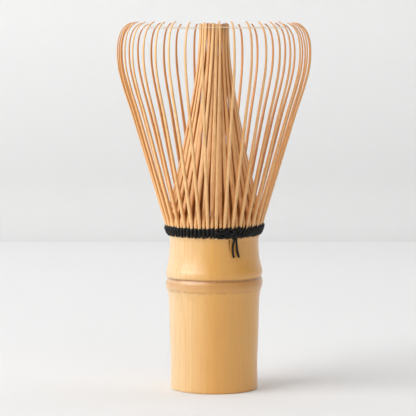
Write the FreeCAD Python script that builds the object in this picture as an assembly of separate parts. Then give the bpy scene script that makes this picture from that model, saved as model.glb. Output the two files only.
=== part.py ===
import FreeCAD, Part
import math
import os
import random

# Bamboo tea whisk, standing on its grip. Millimetres, +Z up along the culm, origin at the centre of the base.
# One length of bamboo: a hollow grip, a swollen node with its inner wall, and a neck whose rim is split into
# roots. Every second root carries an outer tine that leans out and curls in at the tip; the roots between them
# carry the inner tines, which lean together into a core. Black thread laces the roots, and a fine pale thread
# is tied across four outer tines near their tips.

# ---- driving dimensions ----
HEIGHT = 113.4
TINES = 36
FIRST_ANGLE = -87.5
CLUSTER = 3
ROOT_BASE_Z = 47.0
ROOT_TOP_Z = 51.5
TINE_Z = 51.6
LACING_Z = 49.7
THREAD_R = 0.33
WRAP_HALF = 1.25
WRAP_GAP = 0.03
ROUND_R = 0.27
ROUND_LOWER_Z = 48.9
ROUND_UPPER_Z = 50.3
TIP_THREAD_R = 0.13
TIP_THREAD_Z = 111.8
TIE_GAP = 0.45

# outside of the culm, as radius and height
GRIP_PROFILE = [(13.6, 0.4), (13.45, 7.0), (13.75, 17.0), (13.95, 25.0), (14.2, 29.2), (14.5, 30.8)]
NODE_PROFILE = [(14.5, 30.8), (15.0, 32.5), (14.95, 33.4), (14.4, 34.6), (14.75, 35.8), (14.9, 36.6), (14.6, 37.8)]
NECK_PROFILE = [(14.6, 37.8), (14.1, 40.4), (13.82, 43.4), (13.75, 45.6), (13.8, ROOT_BASE_Z)]
BASE_CHAMFER = 0.35

# hollow of the culm: open below the inner wall, and cut wider above it where the roots are thin
BORE_R = 9.6
GRIP_TOP_Z = 30.8
NODE_BORE_R = 10.2
SEPTUM_BOTTOM_Z = 31.1
SEPTUM_TOP_Z = 34.4
SEPTUM_DISH = 0.8
RIM_HOLLOW_R = 12.0

# roots: outer and inner ones take turns round one leaning ring, the inner ones a little further in
LEAN = 0.302
OUTER_ROOT = {"width": 1.0, "depth": 1.2}
INNER_ROOT = {"width": 0.95, "depth": 1.15}
OUTER_ROOT_R = 13.8
INNER_ROOT_R = 13.75
INNER_ROOT_LEAN = 0.28
ROOT_SINK = 0.4
ROUND_GAP = 0.03

# crack that runs down the neck from the rim, below the knot
CRACK = {"angle": -70.0, "width": 0.3, "depth": 1.2, "bottom_z": 43.2}

# outer face of an outer tine: its foot, its straight stretch, and the curl above that as radius and height
OUTER_FACE_R = 15.19
STRAIGHT_Z = [TINE_Z, 57.0, 66.0, 76.0, 86.0]
OUTER_CURL = [(28.1, 93.8), (29.5, 99.5), (29.85, 103.6), (29.65, 107.2), (28.75, 110.4), (27.25, 112.4), (25.6, 113.3)]
OUTER_FOOT = {"width": 1.08, "depth": 1.15}
OUTER_TIP = {"width": 0.56, "depth": 0.28}

# outer face of an inner tine, as radius and height
INNER_PATH = [(15.04, TINE_Z), (14.0, 56.5), (12.65, 62.0), (11.35, 67.5), (10.1, 73.0), (9.05, 78.5), (8.0, 84.0),
              (7.0, 89.5), (6.1, 95.0), (5.35, 100.5), (4.95, 105.0), (4.7, 109.0), (4.6, 113.1)]
INNER_FOOT = {"width": 1.02, "depth": 1.05}
INNER_TIP = {"width": 0.97, "depth": 0.34}
# the middle one of each three goes deeper into the core, and the two beside it close up over it
INNER_STAGGER = 1.05
INNER_CLOSING = 0.25
OUTER_COMB = 2.45
COMB_POWER = 0.7
INNER_TWIST = 16.0

# an inner tine is wider than its ends over the first part of its length
INNER_BELLY = 0.5
BELLY_SHARE = 0.55
BELLY_POWER = 0.7

# a tine's width and depth run from its foot to its tip with its length raised to these powers
WIDTH_POWER = 1.5
DEPTH_POWER = 0.8

KNOT = {"angle": -68.0, "half_width": 2.1, "half_height": 1.5, "half_depth": 0.45, "gap": 0.12, "z": 49.2}
TAIL_R = 0.3
# way of each thread end: angle round the neck, distance of its middle off the neck, and height
TAIL_TOP_Z = 47.5
LEFT_TAIL = [(-66.2, 1.5, TAIL_TOP_Z), (-66.8, 0.85, 45.8), (-66.6, 0.55, 44.0), (-65.6, 0.6, 42.0)]
RIGHT_TAIL = [(-63.2, 1.5, TAIL_TOP_Z), (-62.0, 0.85, 45.8), (-60.6, 0.55, 44.0), (-58.6, 0.6, 42.0)]

# outer tines that hold the tip thread, counted from the one nearest -Y
TIED_TINES = [5, 13, 23, 31]

# how each outer tine differs: tip further out, tip higher, tip further round in degrees
random.seed(72)
OUTER_SPREAD = []
for _ in range(TINES):
    OUTER_SPREAD.append((random.uniform(-0.45, 0.35), random.uniform(-0.35, 0.1), random.uniform(-1.1, 1.1)))
# how each inner tine differs: tip further in, tip higher
INNER_SPREAD = []
for _ in range(TINES):
    INNER_SPREAD.append((random.uniform(0.0, 0.1), random.uniform(-0.6, 0.0)))
os.makedirs("parts", exist_ok=True)


def export(shape, name):
    """Writes one named sub-part."""
    shape.exportStep("parts/" + name + ".step")


def polar(radius, angle, z):
    """Point at a radius, an angle in degrees from +X and a height."""
    turn = math.radians(angle)
    return FreeCAD.Vector(radius * math.cos(turn), radius * math.sin(turn), z)


def spline_edge(points):
    """Smooth edge through points."""
    curve = Part.BSplineCurve()
    curve.interpolate(points)
    return curve.toShape()


def line_edge(a, b):
    """Straight edge between two points."""
    return Part.LineSegment(a, b).toShape()


def revolve(outline, corners):
    """Solid of revolution: a smooth outside through outline, closed by straight lines through corners."""
    outside = [FreeCAD.Vector(r, 0, z) for r, z in outline]
    inside = [FreeCAD.Vector(r, 0, z) for r, z in corners]
    edges = [spline_edge(outside)]
    loop = [outside[-1]] + inside + [outside[0]]
    for a, b in zip(loop, loop[1:]):
        edges.append(line_edge(a, b))
    face = Part.Face(Part.Wire(edges))
    return face.revolve(FreeCAD.Vector(0, 0, 0), FreeCAD.Vector(0, 0, 1), 360)


def neck_radius(z):
    """Outside radius of the neck at a height between its ends."""
    for (r0, z0), (r1, z1) in zip(NECK_PROFILE, NECK_PROFILE[1:]):
        if z <= z1:
            return r0 + (r1 - r0) * (z - z0) / (z1 - z0)
    return NECK_PROFILE[-1][0]


def section(centre, across, through, width, depth):
    """Rectangle round a centre, width along across and depth along through."""
    corners = []
    for u, v in [(-0.5, -0.5), (0.5, -0.5), (0.5, 0.5), (-0.5, 0.5)]:
        corners.append(centre + across * (u * width) + through * (v * depth))
    return Part.makePolygon(corners + [corners[0]])


def size_at(share, foot, tip, name, power):
    """A tine's width or depth at a share of its length."""
    return foot[name] + (tip[name] - foot[name]) * share ** power


def strip(path, twists, foot, tip, belly):
    """Tapered strip along a path of points, each turned about +Z by its own angle; foot and tip give its size."""
    last = len(path) - 1
    lengths = [0.0]
    for a, b in zip(path, path[1:]):
        lengths.append(lengths[-1] + (b - a).Length)
    wires = []
    for i, point in enumerate(path):
        along = (path[min(i + 1, last)] - path[max(i - 1, 0)]).normalize()
        across = polar(1.0, twists[i] + 90.0, 0.0)
        if i == 0:
            through = polar(1.0, twists[0], 0.0)
        else:
            through = across.cross(along).normalize()
            across = along.cross(through).normalize()
        share = lengths[i] / lengths[-1]
        width = size_at(share, foot, tip, "width", WIDTH_POWER)
        width += belly * max(0.0, math.sin(math.pi * min(1.0, share / BELLY_SHARE))) ** BELLY_POWER
        depth = size_at(share, foot, tip, "depth", DEPTH_POWER)
        wires.append(section(point, across, through, width, depth))
    return Part.makeLoft(wires, True, False)


def make_grip():
    first = GRIP_PROFILE[0]
    foot = [(BORE_R, GRIP_TOP_Z), (BORE_R, 0.0), (first[0] - BASE_CHAMFER, 0.0)]
    return revolve(GRIP_PROFILE, foot)


def make_node_ring():
    top_z = NODE_PROFILE[-1][1]
    return revolve(NODE_PROFILE, [(NODE_BORE_R, top_z), (NODE_BORE_R, GRIP_TOP_Z)])


def make_septum():
    """Inner wall of the node: a disc with a dished top."""
    disc = Part.makeCylinder(NODE_BORE_R, SEPTUM_TOP_Z - SEPTUM_BOTTOM_Z, FreeCAD.Vector(0, 0, SEPTUM_BOTTOM_Z))
    ball_r = (NODE_BORE_R ** 2 + SEPTUM_DISH ** 2) / (2 * SEPTUM_DISH)
    ball = Part.makeSphere(ball_r, FreeCAD.Vector(0, 0, SEPTUM_TOP_Z - SEPTUM_DISH + ball_r))
    return disc.cut(ball)


def make_root(angle, face_r, lean, size):
    """One root: a leaning block that stands on the neck's rim."""
    height = ROOT_TOP_Z - ROOT_BASE_Z + ROOT_SINK
    base_r = face_r - size["depth"] / 2 - lean * ROOT_SINK
    wires = []
    for rise in (0.0, height):
        middle = polar(base_r + lean * rise, angle, ROOT_BASE_Z - ROOT_SINK + rise)
        wires.append(section(middle, polar(1.0, angle + 90.0, 0), polar(1.0, angle, 0), size["width"], size["depth"]))
    return Part.makeLoft(wires, True, True)


def make_crack():
    """Wedge that narrows downwards to nothing."""
    angle = CRACK["angle"]
    across = polar(1.0, angle + 90.0, 0)
    half = CRACK["width"] / 2
    top = ROOT_BASE_Z + 0.5
    outer_r = OUTER_ROOT_R + 2.0
    inner = polar(OUTER_ROOT_R - CRACK["depth"], angle, top)
    outline = [inner - across * half, inner + across * half]
    foot = polar(OUTER_ROOT_R - CRACK["depth"], angle, CRACK["bottom_z"])
    face = Part.Face(Part.makePolygon(outline + [foot, outline[0]]))
    return face.extrude(polar(outer_r - OUTER_ROOT_R + CRACK["depth"], angle, 0))


def make_neck():
    bottom_z = NECK_PROFILE[0][1]
    body = revolve(NECK_PROFILE, [(RIM_HOLLOW_R, ROOT_BASE_Z), (NODE_BORE_R, bottom_z)])
    roots = []
    for i in range(TINES):
        roots.append(make_root(outer_angle(i), OUTER_ROOT_R, LEAN, OUTER_ROOT))
        roots.append(make_root(inner_angle(i), INNER_ROOT_R, INNER_ROOT_LEAN, INNER_ROOT))
    return body.fuse(roots).removeSplitter().cut(make_crack())


def outer_angle(i):
    return FIRST_ANGLE + 360.0 * i / TINES


def inner_angle(i):
    return FIRST_ANGLE + 360.0 * (i + 0.5) / TINES


def outer_way(i):
    """Middle of an outer tine and its turn at each point: straight for two thirds, curled in, combed towards -Y."""
    reach, rise, sway = OUTER_SPREAD[i]
    comb = OUTER_COMB * math.cos(math.radians(outer_angle(i)))
    face = [(OUTER_FACE_R + LEAN * (z - TINE_Z), z) for z in STRAIGHT_Z] + OUTER_CURL
    points = []
    twists = []
    for r, z in face:
        share = (z - TINE_Z) / (HEIGHT - TINE_Z)
        depth = size_at(share, OUTER_FOOT, OUTER_TIP, "depth", DEPTH_POWER)
        twist = outer_angle(i) + sway * share - comb * share ** COMB_POWER
        points.append(polar(r - depth / 2 + reach * share * share, twist, z + rise * share * share))
        twists.append(twist)
    return points, twists


def make_outer_tine(i):
    points, twists = outer_way(i)
    return strip(points, twists, OUTER_FOOT, OUTER_TIP, 0.0)


def make_inner_tine(i):
    """Inner tine: leans in to the core and turns a little round it on the way up."""
    draw_in, rise = INNER_SPREAD[i]
    place = i % CLUSTER - 1
    if place == 0:
        draw_in += INNER_STAGGER
    points = []
    twists = []
    for r, z in INNER_PATH:
        share = (z - TINE_Z) / (HEIGHT - TINE_Z)
        depth = size_at(share, INNER_FOOT, INNER_TIP, "depth", DEPTH_POWER)
        closing = place * INNER_CLOSING * 360.0 / TINES
        twist = inner_angle(i) + (INNER_TWIST - closing) * share * share
        points.append(polar(r - depth / 2 - draw_in * share, twist, z + rise * share))
        twists.append(twist)
    return strip(points, twists, INNER_FOOT, INNER_TIP, INNER_BELLY)


def make_lacing_round(z):
    """Hidden run of the lacing thread, just inside the ring of roots."""
    rise = z - ROOT_BASE_Z
    outer_r = OUTER_ROOT_R - OUTER_ROOT["depth"] + LEAN * rise
    inner_r = INNER_ROOT_R - INNER_ROOT["depth"] + INNER_ROOT_LEAN * rise
    inside_r = min(outer_r, inner_r) * math.cos(math.radians(2.5)) - LEAN * ROUND_R
    return Part.makeTorus(inside_r - ROUND_R - ROUND_GAP, ROUND_R, FreeCAD.Vector(0, 0, z))


def face_radius(z):
    """Radius of the outer roots' faces at a height."""
    return OUTER_ROOT_R + LEAN * (z - ROOT_BASE_Z)


def make_wraps():
    """Strands that cross the faces of the roots, one to a root, lying on their lean."""
    wraps = []
    lean = math.atan(LEAN)
    centre_r = face_radius(LACING_Z) + (THREAD_R + WRAP_GAP) / math.cos(lean)
    for i in range(2 * TINES):
        angle = outer_angle(0) + 180.0 * i / TINES
        low = polar(centre_r - WRAP_HALF * math.sin(lean), angle, LACING_Z - WRAP_HALF * math.cos(lean))
        high = polar(centre_r + WRAP_HALF * math.sin(lean), angle, LACING_Z + WRAP_HALF * math.cos(lean))
        core = Part.makeCylinder(THREAD_R, 2 * WRAP_HALF, low, high - low)
        wraps.append(core.fuse([Part.makeSphere(THREAD_R, low), Part.makeSphere(THREAD_R, high)]))
    return Part.makeCompound(wraps)


def make_knot():
    """Flat lump of crossed thread on the outside of the lacing."""
    scale = FreeCAD.Matrix()
    scale.scale(KNOT["half_depth"], KNOT["half_width"], KNOT["half_height"])
    lump = Part.makeSphere(1.0).transformGeometry(scale)
    lump.rotate(FreeCAD.Vector(0, 0, 0), FreeCAD.Vector(0, 1, 0), math.degrees(math.atan(LEAN)))
    lump.rotate(FreeCAD.Vector(0, 0, 0), FreeCAD.Vector(0, 0, 1), KNOT["angle"])
    middle_r = face_radius(KNOT["z"]) + 2 * THREAD_R + KNOT["half_depth"] + KNOT["gap"]
    lump.translate(polar(middle_r, KNOT["angle"], KNOT["z"]))
    return lump


def make_tail(way):
    """Cut end of the lacing thread, hanging just off the neck."""
    points = [polar(neck_radius(z) + off, angle, z) for angle, off, z in way]
    path = Part.Wire([spline_edge(points)])
    along = points[1] - points[0]
    ring = Part.Wire([Part.Circle(points[0], along, TAIL_R).toShape()])
    return path.makePipeShell([ring], True, True)


def tie_point(i):
    """Point just inside an outer tine at the tip thread's height."""
    points, twists = outer_way(i)
    for a, b, twist in zip(points, points[1:], twists[1:]):
        if a.z <= TIP_THREAD_Z <= b.z:
            inside = a + (b - a) * ((TIP_THREAD_Z - a.z) / (b.z - a.z))
            radius = math.hypot(inside.x, inside.y) - TIE_GAP
            return polar(radius, math.degrees(math.atan2(inside.y, inside.x)), TIP_THREAD_Z)


def make_tip_thread():
    """Four straight runs of fine thread between four outer tines, each stopping just inside its tines."""
    ties = [tie_point(i) for i in TIED_TINES]
    runs = []
    for a, b in zip(ties, ties[1:] + ties[:1]):
        step = (b - a).normalize() * (2 * TIP_THREAD_R)
        runs.append(Part.makeCylinder(TIP_THREAD_R, (b - a).Length - 2 * step.Length, a + step, b - a))
    return Part.makeCompound(runs)


export(make_grip(), "grip")
export(make_node_ring(), "node_ring")
export(make_septum(), "septum")
export(make_neck(), "neck")
for number in range(TINES):
    export(make_outer_tine(number), "outer_tine_%02d" % (number + 1))
for number in range(TINES // CLUSTER):
    cluster = [make_inner_tine(number * CLUSTER + k) for k in range(CLUSTER)]
    export(Part.makeCompound(cluster), "inner_tines_%02d" % (number + 1))
export(make_lacing_round(ROUND_LOWER_Z), "lacing_lower_round")
export(make_lacing_round(ROUND_UPPER_Z), "lacing_upper_round")
export(make_wraps(), "lacing_wraps")
export(make_knot(), "knot")
export(make_tail(LEFT_TAIL), "tail_left")
export(make_tail(RIGHT_TAIL), "tail_right")
export(make_tip_thread(), "tip_thread")
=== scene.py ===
"""Looks of the bamboo tea whisk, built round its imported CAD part.

Sizes are in millimetres until a mesh is made, and angles are in degrees from +X.
"""

import math
import random

import bpy
import numpy as np
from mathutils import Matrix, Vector


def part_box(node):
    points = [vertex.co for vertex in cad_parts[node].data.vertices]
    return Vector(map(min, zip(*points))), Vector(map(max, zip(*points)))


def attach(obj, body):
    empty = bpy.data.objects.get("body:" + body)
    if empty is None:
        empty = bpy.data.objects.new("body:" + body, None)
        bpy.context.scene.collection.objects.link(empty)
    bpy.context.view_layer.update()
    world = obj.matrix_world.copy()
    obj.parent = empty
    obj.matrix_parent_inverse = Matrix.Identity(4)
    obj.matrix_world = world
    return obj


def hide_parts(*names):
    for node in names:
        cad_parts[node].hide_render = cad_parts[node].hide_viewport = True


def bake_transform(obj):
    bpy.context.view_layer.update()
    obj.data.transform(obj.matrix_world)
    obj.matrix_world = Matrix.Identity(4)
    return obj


MM = 0.001
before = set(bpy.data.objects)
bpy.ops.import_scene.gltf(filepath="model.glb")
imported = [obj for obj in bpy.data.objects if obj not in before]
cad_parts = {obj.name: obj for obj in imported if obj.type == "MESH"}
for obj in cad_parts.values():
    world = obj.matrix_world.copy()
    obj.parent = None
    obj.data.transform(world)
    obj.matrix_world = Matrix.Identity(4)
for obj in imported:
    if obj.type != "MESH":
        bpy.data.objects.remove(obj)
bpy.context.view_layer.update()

# the CAD part's own sizes, so that each piece lies on the node that it stands for
HEIGHT = 113.4
TINES = 36
FIRST_ANGLE = -87.5
CLUSTER = 3
TINE_Z = 51.6
ROOT_Z = 47.0
LEAN = 0.302
INNER_LEAN = 0.28
ROOT_R = 13.8
ROOT_PATH = [(46.4, 1.15), (47.8, 0.68), (49.8, 0.57)]
INNER_ROOT_R = 13.75
OUTER_FACE_R = 15.19
STRAIGHT_Z = [51.6, 57.0, 66.0, 76.0, 86.0]
OUTER_CURL = [(28.1, 93.8), (29.5, 99.5), (29.85, 103.6), (29.65, 107.2), (28.75, 110.4),
              (27.25, 112.4), (25.6, 113.3)]
INNER_PATH = [(15.04, 51.6), (14.0, 56.5), (12.65, 62.0), (11.35, 67.5), (10.1, 73.0), (9.05, 78.5),
              (8.0, 84.0), (7.0, 89.5), (6.1, 95.0), (5.35, 100.5), (4.95, 105.0), (4.7, 109.0), (4.6, 113.1)]
OUTER_COMB = 2.45
COMB_POWER = 0.7
INNER_TWIST = 16.0
INNER_STAGGER = 1.05
INNER_CLOSING = 0.25
OUTER_SIZE = {"foot": (1.08, 1.15), "tip": (0.56, 0.28)}
INNER_SIZE = {"foot": (1.02, 1.05), "tip": (0.97, 0.34)}
INNER_BELLY = 0.5
BELLY_SHARE = 0.55
BELLY_POWER = 0.7
WIDTH_POWER = 1.5
DEPTH_POWER = 0.8
TIP_THREAD_Z = 111.8
TIED_TINES = [5, 13, 23, 31]

# a root fills its share of the ring up to its swell, and each tine's cross-section has a darker side
ROOT_WIDTH = 1.17
SWELL_TOP_Z = 50.2
SWELL_HEIGHT = 2.6
FACE_TONE = 0.55
SIDE_TONE = 0.75
TINE_STEPS = 60

# the culm as (radius, height): its outside from foot to rim, its hollow down to the node's wall, and its bore
FOOT = [(13.05, 0.0), (13.25, 0.04), (13.42, 0.14), (13.53, 0.32), (13.57, 0.6)]
GRIP = [(13.57, 0.6), (13.45, 7.0), (13.75, 17.0), (13.95, 25.0), (14.2, 29.2), (14.5, 30.8)]
RIDGE = [(14.5, 30.8), (14.82, 31.6), (15.0, 32.5), (14.97, 33.3), (14.8, 34.1), (14.45, 34.65)]
LIP = [(14.36, 34.8), (14.6, 34.94), (14.84, 35.3), (14.93, 36.0), (14.9, 36.7), (14.6, 37.9)]
NECK = [(14.6, 37.9), (14.1, 40.4), (13.82, 43.4), (13.75, 45.6), (13.82, 47.0), (14.05, 47.8)]
RIM_Z = 47.8
RIM_HOLLOW_R = 12.1
RIM = [(13.9, RIM_Z + 0.06), (13.4, RIM_Z + 0.1), (12.5, RIM_Z + 0.1), (RIM_HOLLOW_R, RIM_Z)]
HOLLOW = [(RIM_HOLLOW_R, RIM_Z - 0.3), (11.4, 43.8), (10.6, 39.8), (10.0, 35.8), (9.0, 34.4)]
WALL_TOP = (6.0, 34.0)
BORE_R = 9.6
BORE = [(9.62, 0.0), (BORE_R, 0.15), (BORE_R, 10.0), (BORE_R, 20.0), (BORE_R, 30.7), (9.2, 31.05),
        (6.0, 31.1)]
NODE_Z = 34.8
NODE_REACH = 5.0
CRACK = {"angle": -70.0, "half": 0.16, "depth": 1.0, "bottom": 43.2}

# the skin's colours: the X over which the painted sheen on the lit side runs from whole to none, and each
# band's low, peak and high heights
PAINTED_SHEEN_X = (-13.5, -0.5)
RIDGE_BAND = (30.6, 33.4, 34.9)
EDGE_BAND = (30.6, 31.2, 31.7)
# the groove's band is painted shade under the node's overhanging lip
GROOVE_SHADE_BAND = (33.9, 34.75, 35.3)

# the lacing: strands over each root's face, thinner ones sunk in each gap, and two hidden rounds
STRAND_R = 0.5
GAP_STRAND_R = 0.3
SLANT = 0.16
EXTRA_SLANT = 0.2
SLANTED_SECTOR = (22.0, 90.0)
ROUND_R = 0.27
ROUND_Z = {"lacing_lower_round": 48.9, "lacing_upper_round": 50.3}
TWIST_PITCH = 1.3

# the knot: its place, its thread and how far its turns stand out and up from their drawn course
KNOT_ANGLE = -68.0
EYE_ANGLE = KNOT_ANGLE - 9.0
KNOT_THREAD_R = 0.32
KNOT_OUT = 0.12
KNOT_UP = 0.35

# the cut ends: each hinge's angle, and points as (angle, distance off the neck, height)
TAIL_R = 0.33
TAILS = {
    "left": {
        "hinge": -66.2,
        "path": [(-66.6, 1.15, 48.6), (-66.3, 1.3, 47.4), (-66.9, 0.85, 45.8), (-66.8, 0.55, 44.0),
                 (-65.7, 0.6, 42.0)],
    },
    "right": {
        "hinge": -63.2,
        "path": [(-64.8, 1.15, 48.6), (-64.0, 1.3, 47.4), (-62.1, 0.85, 45.8), (-60.6, 0.55, 44.0),
                 (-58.6, 0.6, 42.0)],
    },
}

# the fine thread near the tips, and its two turns round each tied tine
FINE_R = 0.11
LOOP_R = 0.09
LOOP_STEPS = 48

# the paper sweep: its half width, the end of its floor, and the corner where it turns up into the wall
SWEEP_HALF = 1600.0
FLOOR_Y = (-900.0, -300.0, 0.0, 250.0, 480.0)
CORNER_Y = 490.0
CORNER_R = 35.0
CORNER_STEPS = 12
WALL_Z = (300.0, 1500.0)
# height up to which the paper's painted shade runs out
PAPER_SHADE_Z = 120.0

# the camera, in metres, and its lens in millimetres
CAMERA_PLACE = (0.0, -0.64, 0.105)
CAMERA_TARGET = (-0.0019, 0.0, 0.0561)
LENS = 179.3

# each tine's own shape: how far its tip reaches out, rises and sways, its tone, and its bow
random.seed(72)
OUTER_SPREAD = []
for _ in range(TINES):
    OUTER_SPREAD.append((random.uniform(-0.45, 0.35), random.uniform(-0.35, 0.1), random.uniform(-1.1, 1.1)))
INNER_SPREAD = []
for _ in range(TINES):
    INNER_SPREAD.append((random.uniform(0.0, 0.1), random.uniform(-0.6, 0.0)))
TONES = [random.random() for _ in range(2 * TINES)]
WAVES = []
for _ in range(2 * TINES):
    WAVES.append((random.uniform(-0.12, 0.12), random.uniform(0, 6.28), random.uniform(-0.06, 0.06)))


def polar(radius, angle, z):
    """Point at a radius, an angle in degrees from +X and a height."""
    turn = math.radians(angle)
    return np.array([radius * math.cos(turn), radius * math.sin(turn), z])


def spline(points, count):
    """Evenly spaced points on a smooth curve through points."""
    p = np.array(points, float)
    t = np.concatenate([[0.0], np.cumsum(np.linalg.norm(np.diff(p, axis=0), axis=1))])
    slope = np.gradient(p, t, axis=0)
    at = np.linspace(0, t[-1], count)
    k = np.clip(np.searchsorted(t, at, side="right") - 1, 0, len(t) - 2)
    step = t[k + 1] - t[k]
    u = ((at - t[k]) / step)[:, None]
    step = step[:, None]
    h00 = 2 * u ** 3 - 3 * u ** 2 + 1
    h10 = u ** 3 - 2 * u ** 2 + u
    h01 = 3 * u ** 2 - 2 * u ** 3
    h11 = u ** 3 - u ** 2
    return h00 * p[k] + h10 * step * slope[k] + h01 * p[k + 1] + h11 * step * slope[k + 1]


def unit(rows):
    """Each row scaled to a length of 1."""
    return rows / np.linalg.norm(rows, axis=1)[:, None]


class Builder:
    """Collects rings of points into one mesh."""

    def __init__(self):
        self.points = []
        self.faces = []
        self.marks = []
        self.tones = []
        self.shares = []

    def add_points(self, rows, tone=0.5, share=0.5):
        """Adds a row of points and returns the first one's number; tone may hold one value for each point."""
        start = len(self.points)
        self.points.extend([tuple(r) for r in rows])
        self.tones.extend([tone] * len(rows) if np.isscalar(tone) else tone)
        self.shares.extend([share] * len(rows))
        return start

    def add_face(self, corners, mark=0):
        self.faces.append(tuple(corners))
        self.marks.append(mark)

    def bridge(self, a, b, n, mark=0):
        for k in range(n):
            m = (k + 1) % n
            self.add_face((a + k, a + m, b + m, b + k), mark)

    def rings(self, rings, tone=0.5, shares=None):
        """Closed skin over a row of rings, with its ends capped."""
        n = len(rings[0])
        starts = []
        for i, ring in enumerate(rings):
            share = 0.5 if shares is None else shares[i]
            starts.append(self.add_points(ring, tone, share))
        for a, b in zip(starts, starts[1:]):
            self.bridge(a, b, n)
        self.add_face([starts[0] + n - 1 - k for k in range(n)])
        self.add_face([starts[-1] + k for k in range(n)])

    def mesh(self, name, materials):
        data = bpy.data.meshes.new(name)
        points = [(x * MM, y * MM, z * MM) for x, y, z in self.points]
        data.from_pydata(points, [], self.faces)
        for m in materials:
            data.materials.append(m)
        data.polygons.foreach_set("material_index", self.marks)
        data.polygons.foreach_set("use_smooth", [True] * len(self.faces))
        tone = data.attributes.new("tone", "FLOAT", "POINT")
        tone.data.foreach_set("value", self.tones)
        share = data.attributes.new("along", "FLOAT", "POINT")
        share.data.foreach_set("value", self.shares)
        data.update()
        obj = bpy.data.objects.new(name, data)
        bpy.context.scene.collection.objects.link(obj)
        return obj


# ---------------------------------------------------------------- materials


def new_material(name):
    m = bpy.data.materials.new(name)
    m.use_nodes = True
    m.node_tree.nodes.clear()
    return m, m.node_tree


def add(tree, kind, **sockets):
    """A node with its input sockets set; a socket given another node's output is linked to it."""
    n = tree.nodes.new(kind)
    for key, value in sockets.items():
        socket = n.inputs[key.replace("_", " ")]
        if isinstance(value, bpy.types.NodeSocket):
            tree.links.new(value, socket)
        else:
            socket.default_value = value
    return n


def stretched(tree, across, along, shift=0.0):
    """Object coordinates scaled for a grain that runs up Z."""
    coords = add(tree, "ShaderNodeTexCoord")
    mapping = add(tree, "ShaderNodeMapping", Vector=coords.outputs["Object"])
    mapping.inputs["Scale"].default_value = (across, across, along)
    mapping.inputs["Location"].default_value = (shift, shift * 0.7, shift * 1.3)
    return mapping.outputs["Vector"]


def noise(tree, vector, scale=1.0, detail=3.0, rough=0.55):
    n = add(tree, "ShaderNodeTexNoise", Vector=vector, Scale=scale, Detail=detail, Roughness=rough)
    return n.outputs["Fac"]


def ramp(tree, value, stops):
    n = add(tree, "ShaderNodeValToRGB", Fac=value)
    while len(n.color_ramp.elements) < len(stops):
        n.color_ramp.elements.new(0.5)
    for e, (at, colour) in zip(n.color_ramp.elements, stops):
        e.position = at
        e.color = (*colour, 1.0)
    return n.outputs["Color"]


def mix(tree, share, a, b, how="MIX"):
    n = tree.nodes.new("ShaderNodeMix")
    n.data_type = "RGBA"
    n.blend_type = how
    for socket, value in ((n.inputs[0], share), (n.inputs[6], a), (n.inputs[7], b)):
        if isinstance(value, bpy.types.NodeSocket):
            tree.links.new(value, socket)
        elif isinstance(value, tuple):
            socket.default_value = (*value, 1.0)
        else:
            socket.default_value = value
    return n.outputs[2]


def calc(tree, how, a, b):
    n = tree.nodes.new("ShaderNodeMath")
    n.operation = how
    for k, value in enumerate((a, b)):
        if isinstance(value, bpy.types.NodeSocket):
            tree.links.new(value, n.inputs[k])
        else:
            n.inputs[k].default_value = value
    return n.outputs[0]


def times(tree, a, b):
    return calc(tree, "MULTIPLY", a, b)


def remap(tree, value, low, high, to_low=0.0, to_high=1.0):
    n = add(tree, "ShaderNodeMapRange", Value=value)
    n.inputs["From Min"].default_value = low
    n.inputs["From Max"].default_value = high
    n.inputs["To Min"].default_value = to_low
    n.inputs["To Max"].default_value = to_high
    return n.outputs["Result"]


def finish_material(tree, colour, rough, height, strength, distance, extra=()):
    """Bump, shader and output; extra holds more of the shader's sockets with their values."""
    bump = add(tree, "ShaderNodeBump", Height=height, Strength=strength, Distance=distance)
    normal = bump.outputs["Normal"]
    shader = add(tree, "ShaderNodeBsdfPrincipled", Base_Color=colour, Roughness=rough, Normal=normal)
    for key, value in extra:
        shader.inputs[key].default_value = value
    out = tree.nodes.new("ShaderNodeOutputMaterial")
    tree.links.new(shader.outputs["BSDF"], out.inputs["Surface"])


def attribute(tree, name):
    n = tree.nodes.new("ShaderNodeAttribute")
    n.attribute_name = name
    return n.outputs["Fac"]


def object_axis(tree, axis):
    """Object coordinate along one axis, in metres."""
    coords = add(tree, "ShaderNodeTexCoord")
    split = add(tree, "ShaderNodeSeparateXYZ", Vector=coords.outputs["Object"])
    return split.outputs[axis]


def height_band(tree, low, peak, high):
    """0 to 1 and back to 0 over heights in millimetres."""
    z = object_axis(tree, "Z")
    up = remap(tree, z, low * MM, peak * MM)
    down = remap(tree, z, high * MM, peak * MM)
    return times(tree, up, down)


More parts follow.
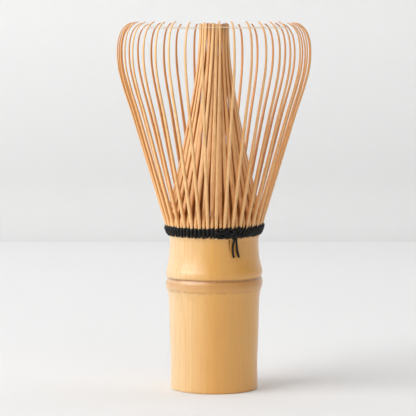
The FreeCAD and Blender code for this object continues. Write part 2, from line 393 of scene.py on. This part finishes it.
def skin_material():
    """Bamboo skin: fibres up the culm, soft blotches, a painted sheen that pales the lit side, a brown worn
    ridge and painted shade in the groove.
    """
    m, tree = new_material("bamboo_skin")
    fibre = noise(tree, stretched(tree, 5200, 90), detail=4.0)
    streak = noise(tree, stretched(tree, 1300, 14, 3.1), detail=3.0)
    blotch = noise(tree, stretched(tree, 90, 45, 7.7), detail=3.0)
    speck = noise(tree, stretched(tree, 1500, 500, 1.7), detail=2.0)
    base = ramp(tree, blotch, [(0.3, (0.73, 0.33, 0.03)), (0.7, (0.80, 0.395, 0.045))])
    # painted sheen: the skin turns paler and whiter towards the lit side at -X
    wholly, none = PAINTED_SHEEN_X
    pale = remap(tree, object_axis(tree, "X"), wholly * MM, none * MM, 0.9, 0.0)
    base = mix(tree, pale, base, (0.765, 0.595, 0.33))
    base = mix(tree, remap(tree, streak, 0.35, 0.75, 0.0, 0.5), base, (0.70, 0.30, 0.032))
    base = mix(tree, remap(tree, fibre, 0.45, 0.8, 0.0, 0.35), base, (0.54, 0.22, 0.03))
    bands = [
        (RIDGE_BAND, remap(tree, blotch, 0.3, 0.7, 0.7, 1.0), 0.75, (0.52, 0.205, 0.03)),
        (EDGE_BAND, remap(tree, speck, 0.42, 0.6), 0.6, (0.42, 0.15, 0.022)),
        # painted shade in the groove under the lip
        (GROOVE_SHADE_BAND, remap(tree, streak, 0.2, 0.6, 0.6, 1.0), 0.85, (0.27, 0.085, 0.015)),
    ]
    for heights, patchy, strength, colour in bands:
        band = times(tree, height_band(tree, *heights), patchy)
        base = mix(tree, times(tree, band, strength), base, colour)
    rough = remap(tree, blotch, 0.3, 0.7, 0.42, 0.5)
    grain = calc(tree, "ADD", times(tree, fibre, 0.6), times(tree, streak, 0.8))
    gloss = [("Specular IOR Level", 1.0), ("Coat Weight", 1.0), ("Coat Roughness", 0.33)]
    finish_material(tree, base, rough, grain, 0.35, 0.00012, gloss)
    return m


def flesh_material():
    """Cut or raw inner bamboo: dull, with the dots and lines of its vessels."""
    m, tree = new_material("bamboo_flesh")
    fibre = noise(tree, stretched(tree, 3800, 120), detail=4.0)
    cells = add(tree, "ShaderNodeTexVoronoi", Vector=stretched(tree, 1500, 60, 2.2), Scale=1.0)
    dots = remap(tree, cells.outputs["Distance"], 0.28, 0.12)
    base = ramp(tree, fibre, [(0.3, (0.50, 0.31, 0.14)), (0.7, (0.68, 0.48, 0.25))])
    base = mix(tree, times(tree, dots, 0.5), base, (0.27, 0.13, 0.045))
    rough = remap(tree, fibre, 0.3, 0.7, 0.6, 0.78)
    finish_material(tree, base, rough, fibre, 0.5, 0.00015)
    return m


def tine_material(name, pale, deep, shade, foot, burnt):
    """Split bamboo: fibres along the tine, its own tone, redder and darker at the foot as painted shade where
    the roots crowd together, and darker at a burnt tip.
    """
    m, tree = new_material(name)
    tone = attribute(tree, "tone")
    along = attribute(tree, "along")
    fibre = noise(tree, stretched(tree, 6500, 160), detail=4.0)
    streak = noise(tree, stretched(tree, 1700, 30, 4.2), detail=3.0)
    base = mix(tree, tone, pale, deep)
    base = mix(tree, remap(tree, streak, 0.4, 0.75, 0.0, 0.5), base, shade)
    base = mix(tree, remap(tree, fibre, 0.45, 0.8, 0.0, 0.35), base, shade)
    # painted shade: the foot colour darkens each tine low down, between the crowded roots
    base = mix(tree, remap(tree, along, 0.0, 0.4, 0.45, 0.0), base, foot)
    burn = times(tree, remap(tree, along, 0.93, 1.0), times(tree, tone, burnt))
    patchy = times(tree, burn, remap(tree, streak, 0.3, 0.6, 0.6, 1.0))
    base = mix(tree, patchy, base, (0.16, 0.06, 0.018))
    rough = remap(tree, fibre, 0.3, 0.7, 0.42, 0.58)
    gloss = [("Specular IOR Level", 0.6), ("Coat Weight", 0.4), ("Coat Roughness", 0.3)]
    finish_material(tree, base, rough, fibre, 0.4, 0.0001, gloss)
    return m


def thread_material(name, dark, light, fuzz, shine):
    """Cotton thread between two tones, with its own sheen and gloss."""
    m, tree = new_material(name)
    coords = add(tree, "ShaderNodeTexCoord")
    fine = noise(tree, coords.outputs["Object"], scale=9000.0, detail=4.0)
    wide = noise(tree, coords.outputs["Object"], scale=900.0, detail=2.0)
    base = mix(tree, remap(tree, fine, 0.35, 0.7), dark, light)
    base = mix(tree, remap(tree, wide, 0.4, 0.7, 0.0, 0.3), base, light)
    rough = remap(tree, wide, 0.3, 0.7, 0.4, 0.58)
    gloss = [("Sheen Weight", fuzz), ("Sheen Roughness", 0.4), ("Specular IOR Level", shine)]
    finish_material(tree, base, rough, fine, 0.5, 0.00008, gloss)
    return m


def paper_material(name, low, high, foot):
    """Matte paper; its tone at floor level is foot times its tone from PAPER_SHADE_Z up, so a foot below 1 is
    painted shade low down.
    """
    m, tree = new_material(name)
    coords = add(tree, "ShaderNodeTexCoord")
    fine = noise(tree, coords.outputs["Object"], scale=1400.0, detail=5.0, rough=0.65)
    wide = noise(tree, coords.outputs["Object"], scale=9.0, detail=2.0)
    base = mix(tree, times(tree, calc(tree, "ADD", fine, wide), 0.5), low, high)
    fade = remap(tree, object_axis(tree, "Z"), 0.0, PAPER_SHADE_Z * MM, 1.0, 0.0)
    base = mix(tree, fade, base, (foot, foot, foot), "MULTIPLY")
    finish_material(tree, base, remap(tree, wide, 0.3, 0.7, 0.8, 0.9), fine, 0.25, 0.0004)
    return m


SKIN = skin_material()
FLESH = flesh_material()
# each foot colour is painted shade near the roots, deepest on the inner tines
OUTER_WOOD = tine_material("outer_tine_wood", pale=(0.96, 0.64, 0.30), deep=(0.69, 0.295, 0.072),
                           shade=(0.58, 0.23, 0.06), foot=(0.84, 0.46, 0.17), burnt=0.0)
INNER_WOOD = tine_material("inner_tine_wood", pale=(0.97, 0.61, 0.27), deep=(0.72, 0.32, 0.09),
                           shade=(0.50, 0.19, 0.04), foot=(0.72, 0.33, 0.085), burnt=0.75)
BLACK = thread_material("black_thread", (0.0005, 0.0005, 0.0004), (0.0045, 0.0042, 0.003), 0.0, 0.3)
PALE = thread_material("pale_thread", (0.72, 0.58, 0.40), (0.86, 0.76, 0.60), 0.1, 0.5)


# ---------------------------------------------------------------- culm


def culm_columns():
    """Angles of the culm's columns of points in degrees, closer together at the crack."""
    centre = CRACK["angle"]
    near = [-1.3, -0.9, -0.66, -0.4, -0.16, 0.0, 0.16, 0.4, 0.66, 0.9, 1.3]
    angles = [centre + a for a in near]
    count = 250
    for k in range(1, count):
        angles.append(centre + near[-1] + (360.0 - 2 * near[-1]) * k / count)
    return angles


def culm_profile():
    """((radius, height), material number) up the outside, over the rim and down the hollow."""
    profile = [(FOOT[0], 1)]
    for part, count in ((FOOT, 8), (GRIP, 60), (RIDGE, 18), (LIP, 20), (NECK, 34)):
        profile += [((r, z), 0) for r, z in spline(part, count)[1:]]
    for part, count in ((RIM, 6), (HOLLOW, 24)):
        profile += [((r, z), 1) for r, z in spline(part, count)]
    profile.append((WALL_TOP, 1))
    return profile


def crack_depth(r, z, angle):
    """How deep the crack cuts into the neck; it opens towards the rim."""
    open_share = (z - CRACK["bottom"]) / (RIM_Z - CRACK["bottom"])
    off = abs(angle - CRACK["angle"]) * math.pi / 180 * r
    half = CRACK["half"] * open_share + 0.02
    return CRACK["depth"] * math.sqrt(open_share) * max(0.0, 1 - off / (half * 1.6))


def culm_point(r, z, mark, angle):
    """Point of the profile on grown bamboo, which is a little oval, and uneven round its node."""
    turn = math.radians(angle)
    node = math.exp(-((z - NODE_Z) / NODE_REACH) ** 2)
    oval = 1 + 0.003 * math.cos(2 * turn + 0.8) + 0.0022 * math.cos(3 * turn + 2.0)
    wobble = 0.05 * node * math.sin(7 * turn + 0.6) + 0.04 * node * math.sin(11 * turn)
    rise = node * (0.3 * math.cos(turn) + 0.1 * math.sin(3 * turn + 1.0) + 0.06 * math.sin(8 * turn))
    cut = 0.0
    if mark == 0 and z > CRACK["bottom"]:
        cut = crack_depth(r, z, angle)
    return polar(r * oval + wobble - cut, angle, z + rise)


def make_culm():
    b = Builder()
    profile = culm_profile()
    columns = culm_columns()
    n = len(columns)
    starts = []
    for (r, z), mark in profile:
        starts.append(b.add_points([culm_point(r, z, mark, angle) for angle in columns]))
    for k in range(len(starts) - 1):
        b.bridge(starts[k], starts[k + 1], n, max(profile[k][1], profile[k + 1][1]))
    # the wall inside the node closes the hollow above, and the bore below it
    b.add_face([starts[-1] + k for k in range(n)], 1)
    inner = [b.add_points([polar(r, angle, z) for angle in columns]) for r, z in BORE]
    b.bridge(inner[0], starts[0], n, 1)
    for low, high in zip(inner, inner[1:]):
        b.bridge(high, low, n, 1)
    b.add_face([inner[-1] + n - 1 - k for k in range(n)], 1)
    obj = b.mesh("culm", [SKIN, FLESH])
    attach(obj, "culm")
    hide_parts("grip", "node_ring", "neck", "septum")


# ---------------------------------------------------------------- tines


def squared_ring(width, depth, count=14, power=3.4):
    """Rounded rectangle as rows of (across, through), its outer face a little crowned."""
    rows = []
    for k in range(count):
        t = 2 * math.pi * (k + 0.5) / count
        c = math.cos(t)
        s = math.sin(t)
        u = math.copysign(abs(c) ** (2 / power), c) * width / 2
        v = math.copysign(abs(s) ** (2 / power), s) * depth / 2
        if v > 0:
            v += depth * 0.12 * (1 - (2 * u / width) ** 2)
        rows.append((u, v))
    return rows


def sweep_tine(b, path, widths, depths, tone, shares, bow):
    """Skin of a tine round its path, with a slow sideways bow, a rounded end and darker sides and back."""
    along = unit(np.gradient(path, axis=0))
    azimuth = np.arctan2(path[:, 1], path[:, 0])
    across = np.stack([-np.sin(azimuth), np.cos(azimuth), np.zeros(len(path))], axis=1)
    through = unit(np.cross(across, along))
    across = np.cross(along, through)
    rings = []
    ring_shares = []
    tones = []
    for _, v in squared_ring(2.0, 2.0):
        tones.append(FACE_TONE * tone + SIDE_TONE * min(1.0, max(0.0, (1.02 - v) / 0.5)))
    swing, phase, ripple = bow
    for i, point in enumerate(path):
        s = shares[i]
        fade = s * (1 - s * 0.4)
        side = swing * fade * math.sin(3.2 * s + phase) + ripple * fade * math.sin(17 * s + phase)
        wobble = 1 + 0.035 * math.sin(23 * s + phase * 3) + 0.02 * math.sin(51 * s + phase)
        centre = point + across[i] * side
        outline = squared_ring(widths[i], depths[i])
        rings.append([centre + across[i] * u * wobble + through[i] * v for u, v in outline])
        ring_shares.append(s)
    last = rings[-1]
    middle = sum(last) / len(last)
    for push, scale in ((0.10, 0.82), (0.15, 0.45)):
        rings.append([middle + (p - middle) * scale + along[-1] * push for p in last])
        ring_shares.append(1.0)
    b.rings(rings, tones, ring_shares)


def tine_path(root_points, points):
    """Smooth path from inside the neck's rim to the tip, with each point's share of height and of length."""
    path = spline(root_points + points, TINE_STEPS)
    shares = np.clip((path[:, 2] - TINE_Z) / (HEIGHT - TINE_Z), 0, 1)
    lengths = np.concatenate([[0.0], np.cumsum(np.linalg.norm(np.diff(path, axis=0), axis=1))])
    rising = TINE_STEPS // 3
    start = np.interp(TINE_Z, path[:rising, 2], lengths[:rising])
    measure = np.clip((lengths - start) / (lengths[-1] - start), 0, 1)
    return path, shares, measure


def depth_at(size, share):
    return size["foot"][1] + (size["tip"][1] - size["foot"][1]) * share ** DEPTH_POWER


def tapered(size, measure, heights):
    """Width and depth along a tine: as wide as a root below the rim's top, then the CAD part's taper."""
    widths = size["foot"][0] + (size["tip"][0] - size["foot"][0]) * measure ** WIDTH_POWER
    swell = np.clip((SWELL_TOP_Z - heights) / SWELL_HEIGHT, 0, 1)
    return widths + (ROOT_WIDTH - widths) * swell, depth_at(size, measure)


def outer_angle(i):
    return FIRST_ANGLE + 360.0 * i / TINES


def inner_angle(i):
    return FIRST_ANGLE + 360.0 * (i + 0.5) / TINES


def face_r(z):
    """Radius of the outer face of the ring of roots."""
    return ROOT_R + LEAN * (z - ROOT_Z)


def outer_points(i):
    """Middle line of an outer tine from its root's top to its tip."""
    reach, rise, sway = OUTER_SPREAD[i]
    comb = OUTER_COMB * math.cos(math.radians(outer_angle(i)))
    face = [(OUTER_FACE_R + LEAN * (z - TINE_Z), z) for z in STRAIGHT_Z] + OUTER_CURL
    points = []
    for r, z in face:
        share = (z - TINE_Z) / (HEIGHT - TINE_Z)
        depth = depth_at(OUTER_SIZE, share)
        angle = outer_angle(i) + sway * share - comb * share ** COMB_POWER
        points.append(polar(r - depth / 2 + reach * share * share, angle, z + rise * share * share))
    return points


def make_outer_tine(i):
    root = [polar(face_r(z) - sunk, outer_angle(i), z) for z, sunk in ROOT_PATH]
    path, shares, measure = tine_path(root, outer_points(i))
    widths, depths = tapered(OUTER_SIZE, measure, path[:, 2])
    b = Builder()
    sweep_tine(b, path, widths, depths, TONES[i], shares, WAVES[i])
    name = "outer_tine_%02d" % (i + 1)
    obj = b.mesh("tine_%02d" % (i + 1), [OUTER_WOOD])
    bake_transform(obj)
    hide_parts(name)


def inner_points(i):
    """Middle line of an inner tine; the middle one of three stands further in, and the others close on it."""
    draw_in, rise = INNER_SPREAD[i]
    place = i % CLUSTER - 1
    if place == 0:
        draw_in += INNER_STAGGER
    closing = place * INNER_CLOSING * 360.0 / TINES
    points = []
    for r, z in INNER_PATH:
        share = (z - TINE_Z) / (HEIGHT - TINE_Z)
        depth = depth_at(INNER_SIZE, share)
        angle = inner_angle(i) + (INNER_TWIST - closing) * share * share
        points.append(polar(r - depth / 2 - draw_in * share, angle, z + rise * share))
    return points


def make_inner_group(g):
    """Three neighbouring inner tines, which lean together."""
    b = Builder()
    for i in range(g * CLUSTER, (g + 1) * CLUSTER):
        root = []
        for z, sunk in ROOT_PATH:
            root.append(polar(INNER_ROOT_R + INNER_LEAN * (z - ROOT_Z) - sunk, inner_angle(i), z))
        path, shares, measure = tine_path(root, inner_points(i))
        widths, depths = tapered(INNER_SIZE, measure, path[:, 2])
        swell = np.sin(math.pi * np.minimum(1.0, measure / BELLY_SHARE))
        widths = widths + INNER_BELLY * np.maximum(0.0, swell) ** BELLY_POWER
        sweep_tine(b, path, widths, depths, TONES[TINES + i], shares, WAVES[TINES + i])
    name = "inner_tines_%02d" % (g + 1)
    obj = b.mesh("core_%02d" % (g + 1), [INNER_WOOD])
    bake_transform(obj)
    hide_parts(name)


# ---------------------------------------------------------------- threads


def thread(b, points, radius, steps, sides=10, twist=TWIST_PITCH, closed=False, blunt=True):
    """Two-ply twisted thread along a curve through points."""
    if closed:
        path = np.array(points, float)
        along = unit(np.roll(path, -1, axis=0) - np.roll(path, 1, axis=0))
    else:
        path = spline(points, steps)
        along = unit(np.gradient(path, axis=0))
    guide = np.array([0.31, 0.47, 0.83])
    lengths = np.concatenate([[0.0], np.cumsum(np.linalg.norm(np.diff(path, axis=0), axis=1))])
    rings = []
    side = np.cross(along[0], guide)
    for i, point in enumerate(path):
        side = side - along[i] * side.dot(along[i])
        side = side / np.linalg.norm(side)
        up = np.cross(along[i], side)
        lay = 2 * math.pi * lengths[i] / twist
        ring = []
        for k in range(sides):
            t = 2 * math.pi * k / sides
            r = radius * (1 + 0.13 * math.cos(2 * (t - lay)))
            ring.append(point + side * (r * math.cos(t)) + up * (r * math.sin(t)))
        rings.append(ring)
    if closed:
        starts = [b.add_points(ring) for ring in rings]
        for a, c in zip(starts, starts[1:] + starts[:1]):
            b.bridge(a, c, sides)
        return
    if blunt:
        tip = path[-1]
        rings.append([tip + (p - tip) * 0.7 + along[-1] * radius * 0.25 for p in rings[-1]])
    b.rings(rings)


def on_face(angle, across, out, z):
    """Point beside a root's middle line: across it and out from its face, in millimetres."""
    r = face_r(z) + out
    return polar(r, angle + math.degrees(across / r), z)


def face_strand(angle, slant, sag, lift):
    """Course of a strand up over one root, as points in from one gap and out into the next."""
    return [
        on_face(angle, -slant - 0.22, -0.85, 48.3 + sag + lift * 0.4),
        on_face(angle, -slant, -0.1, 48.32 + sag + lift * 0.4),
        on_face(angle, -slant * 0.5, 0.2, 48.95 + lift * 0.6),
        on_face(angle, 0.0, 0.24, 49.65 + lift * 0.8),
        on_face(angle, slant * 0.5, 0.2, 50.3 + lift),
        on_face(angle, slant, -0.1, 50.7 + sag + lift),
        on_face(angle, slant + 0.22, -0.85, 50.8 + sag + lift),
    ]


def gap_strand(angle, low, high, lift):
    """Course of the thinner strand sunk in a gap between two roots."""
    return [
        on_face(angle, -0.1, -0.95, 48.35 - low),
        on_face(angle, -0.08, -0.35, 48.5 - low),
        on_face(angle, 0.0, -0.2, 49.2),
        on_face(angle, 0.02, -0.2, 50.4 + lift),
        on_face(angle, 0.05, -0.35, 51.1 + high + lift),
        on_face(angle, 0.05, -0.8, 51.25 + high + lift),
    ]


def make_lacing():
    b = Builder()
    rng = random.Random(5)
    for k in range(2 * TINES):
        angle = outer_angle(0) + 180.0 * k / TINES
        sag = rng.uniform(-0.1, 0.1)
        slant = SLANT + rng.uniform(-0.06, 0.06)
        if SLANTED_SECTOR[0] < (angle + 90.0) % 360.0 < SLANTED_SECTOR[1]:
            slant += EXTRA_SLANT
        turn = math.radians(angle)
        lift = 0.25 + 0.35 * math.sin(turn) + 0.3 * math.cos(turn)
        thread(b, face_strand(angle, slant, sag, lift), STRAND_R, 22, sides=12, blunt=False)
        high = rng.uniform(0.0, 0.35)
        low = rng.uniform(0.0, 0.25)
        thread(b, gap_strand(angle + 90.0 / TINES, low, high, lift), GAP_STRAND_R, 14, sides=8, blunt=False)
    obj = b.mesh("lacing", [BLACK])
    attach(obj, "culm")
    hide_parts("lacing_wraps")


def make_round(node, z):
    """Hidden run of the lacing thread just inside the roots."""
    low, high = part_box(node)
    radius = (high.x - low.x) / MM / 2 - ROUND_R
    b = Builder()
    ring = [polar(radius, 1.5 * k, z) for k in range(240)]
    thread(b, ring, ROUND_R, 0, sides=8, closed=True, twist=2 * math.pi * radius / 64)
    obj = b.mesh(node.replace("lacing", "laced"), [BLACK])
    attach(obj, "culm")
    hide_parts(node)


def make_knot():
    """The knot: an eye that lies along the lacing, and turns of thread that bind it by the cut ends."""
    b = Builder()
    eye = []
    for k in range(25):
        t = 2 * math.pi * k / 24 + 0.4
        out = 0.78 + 0.14 * math.sin(2 * t)
        eye.append(on_face(EYE_ANGLE, 2.1 * math.cos(t), out, 49.0 + 0.72 * math.sin(t)))
    thread(b, eye, KNOT_THREAD_R, 90, blunt=False)
    # each turn as (across, out, height) from the knot's middle line
    turns = [
        [(-5.9, 0.1, 49.4), (-4.6, 0.72, 49.25), (-2.4, 0.95, 48.8), (-0.2, 1.0, 48.1), (1.0, 0.75, 47.5),
         (1.6, 0.2, 47.3)],
        [(-4.6, 0.15, 47.7), (-3.0, 0.75, 47.75), (-1.0, 1.05, 48.5), (0.8, 1.05, 49.4), (1.9, 0.7, 50.2),
         (2.3, 0.1, 50.9)],
        [(-1.9, 0.2, 47.5), (-1.0, 0.95, 48.0), (-0.2, 1.35, 48.9), (0.5, 1.1, 49.8), (1.0, 0.3, 50.5)],
        [(-0.7, 0.3, 50.4), (-0.2, 1.1, 49.8), (0.45, 1.5, 48.9), (0.9, 1.25, 48.0), (1.0, 0.9, 47.3)],
        [(0.2, 0.3, 47.4), (0.9, 1.0, 47.9), (1.6, 1.15, 48.7), (2.1, 0.85, 49.5), (2.5, 0.2, 50.1)],
        [(-3.6, 0.2, 50.2), (-2.4, 0.7, 49.9), (-1.0, 1.0, 49.2), (0.6, 1.3, 48.5), (2.2, 0.9, 48.0),
         (3.2, 0.2, 47.6)],
    ]
    for turn in turns:
        course = [on_face(KNOT_ANGLE, a, o + KNOT_OUT, z + KNOT_UP) for a, o, z in turn]
        thread(b, course, KNOT_THREAD_R, 34, blunt=False)
    obj = b.mesh("knot_turns", [BLACK])
    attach(obj, "culm")
    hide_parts("knot")


def neck_r(z):
    """Radius of the neck's outside."""
    rows = sorted((height, r) for r, height in NECK)
    return float(np.interp(z, [row[0] for row in rows], [row[1] for row in rows]))


def make_tail(side):
    """Cut end of the lacing thread, hanging off the neck."""
    tail = TAILS[side]
    course = [polar(neck_r(z) + off, angle, z) for angle, off, z in tail["path"]]
    b = Builder()
    thread(b, course, TAIL_R, 60, sides=12, twist=1.5)
    obj = b.mesh("thread_end_" + side, [BLACK])
    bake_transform(obj)
    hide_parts("tail_" + side)


def tie_point(i):
    """Point just inside an outer tine where the tip thread is looped round it, and its angle."""
    points = outer_points(i)
    for a, c in zip(points, points[1:]):
        if a[2] <= TIP_THREAD_Z <= c[2]:
            inside = a + (c - a) * ((TIP_THREAD_Z - a[2]) / (c[2] - a[2]))
            angle = math.degrees(math.atan2(inside[1], inside[0]))
            return polar(math.hypot(inside[0], inside[1]) - 0.2, angle, TIP_THREAD_Z), angle


def down(drop):
    return np.array([0, 0, drop])


def make_half_run(name, tie, other):
    """Half of a slack run of the fine thread, from its middle to its own tine."""
    middle = (tie + other) / 2 - down(0.12)
    b = Builder()
    thread(b, [middle, middle * 0.5 + tie * 0.5 - down(0.05), tie], FINE_R, 40, sides=7, twist=0.9)
    obj = b.mesh(name, [PALE])
    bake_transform(obj)
    return obj


def make_loop(name, tine, tie, angle):
    """Two turns of the fine thread round a tied tine."""
    loop = []
    out = polar(1.0, angle, 0)
    side = polar(1.0, angle + 90.0, 0)
    for step in range(LOOP_STEPS + 1):
        t = 2 * math.pi * 2 * step / LOOP_STEPS
        rise = np.array([0, 0, 0.32 * (step / LOOP_STEPS - 0.5)])
        loop.append(tie + out * (0.22 + 0.36 * math.cos(t)) + side * (0.4 * math.sin(t)) + rise)
    b = Builder()
    thread(b, loop, LOOP_R, 90, sides=6, twist=0.9)
    obj = b.mesh(name, [PALE])
    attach(obj, tine)


def make_tip_thread():
    """Each run of the fine thread in two halves, each from the run's middle to one of its tied tines."""
    ties = [tie_point(i) for i in TIED_TINES]
    for k, i in enumerate(TIED_TINES):
        tine = "outer_tine_%02d" % (i + 1)
        tie, angle = ties[k]
        following = ties[(k + 1) % len(ties)][0]
        run = make_half_run("fine_thread_%d_next" % (k + 1), tie, following)
        if k == 0:
            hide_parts("tip_thread")
        make_half_run("fine_thread_%d_last" % (k + 1), tie, ties[k - 1][0])
        make_loop("fine_loop_%d" % (k + 1), tine, tie, angle)


# ---------------------------------------------------------------- stage, light, camera


def make_stage():
    """Pale sweep: a floor that turns up softly into a wall."""
    rows = [(y, 0.0) for y in FLOOR_Y]
    for k in range(CORNER_STEPS + 1):
        t = math.radians(90.0 * k / CORNER_STEPS)
        rows.append((CORNER_Y + CORNER_R * math.sin(t), CORNER_R - CORNER_R * math.cos(t)))
    rows += [(CORNER_Y + CORNER_R, z) for z in WALL_Z]
    points = []
    faces = []
    marks = []
    for y, z in rows:
        points += [(side * SWEEP_HALF * MM, y * MM, z * MM) for side in (-1, 1)]
    for k in range(len(rows) - 1):
        faces.append((2 * k, 2 * k + 1, 2 * k + 3, 2 * k + 2))
        marks.append(0 if k < len(FLOOR_Y) else 1)
    data = bpy.data.meshes.new("sweep")
    data.from_pydata(points, [], faces)
    data.materials.append(paper_material("floor_paper", (0.77, 0.77, 0.772), (0.82, 0.82, 0.822), 1.0))
    # the wall's foot of 0.88 is painted shade where the wall meets the floor
    data.materials.append(paper_material("wall_paper", (0.80, 0.80, 0.80), (0.85, 0.85, 0.85), 0.88))
    data.polygons.foreach_set("material_index", marks)
    data.polygons.foreach_set("use_smooth", [True] * len(faces))
    obj = bpy.data.objects.new("sweep", data)
    bpy.context.scene.collection.objects.link(obj)


def area_light(name, place, target, size, power, colour):
    """Rectangular lamp at a place in metres, turned to a target, with its power in watts."""
    data = bpy.data.lights.new(name, "AREA")
    data.shape = "RECTANGLE"
    data.size = size[0]
    data.size_y = size[1]
    data.energy = power
    data.color = colour
    obj = bpy.data.objects.new(name, data)
    obj.location = place
    obj.rotation_euler = (Vector(target) - Vector(place)).to_track_quat("-Z", "Y").to_euler()
    bpy.context.scene.collection.objects.link(obj)


def make_light():
    """A large soft key from the left front, a weak fill and light on the wall."""
    area_light("key", (-1.28, -0.62, 0.98), (0, 0, 0.06), (1.6, 1.3), 30.5, (1.0, 0.997, 0.99))
    area_light("fill", (0.5, -1.1, 0.7), (0, 0, 0.05), (1.2, 0.9), 2.0, (1.0, 0.99, 0.975))
    area_light("wall_light", (0.6, 0.1, 1.3), (0.35, 0.525, 0.25), (0.8, 0.3), 2.8, (1.0, 1.0, 1.0))


def make_studio():
    """Dim even surroundings, paler near the horizon and below it."""
    world = bpy.data.worlds.new("studio")
    world.use_nodes = True
    tree = world.node_tree
    coords = add(tree, "ShaderNodeTexCoord")
    split = add(tree, "ShaderNodeSeparateXYZ", Vector=coords.outputs["Generated"])
    band = remap(tree, split.outputs["Z"], 0.05, 0.14, 1.0, 0.0)
    glow = mix(tree, band, (0.22, 0.222, 0.223), (0.76, 0.76, 0.76))
    tree.links.new(glow, tree.nodes["Background"].inputs["Color"])
    bpy.context.scene.world = world


def make_camera():
    data = bpy.data.cameras.new("camera")
    data.lens = LENS
    data.sensor_width = 36.0
    data.clip_start = 0.01
    data.clip_end = 10.0
    obj = bpy.data.objects.new("camera", data)
    obj.location = CAMERA_PLACE
    sight = Vector(CAMERA_TARGET) - Vector(CAMERA_PLACE)
    obj.rotation_euler = sight.to_track_quat("-Z", "Y").to_euler()
    bpy.context.scene.collection.objects.link(obj)
    bpy.context.scene.camera = obj


make_culm()
for tine in range(TINES):
    make_outer_tine(tine)
for group in range(TINES // CLUSTER):
    make_inner_group(group)
make_lacing()
for node, height in ROUND_Z.items():
    make_round(node, height)
make_knot()
make_tail("left")
make_tail("right")
make_tip_thread()
make_stage()
make_light()
make_studio()
make_camera()
bpy.context.scene.view_settings.view_transform = "Standard"
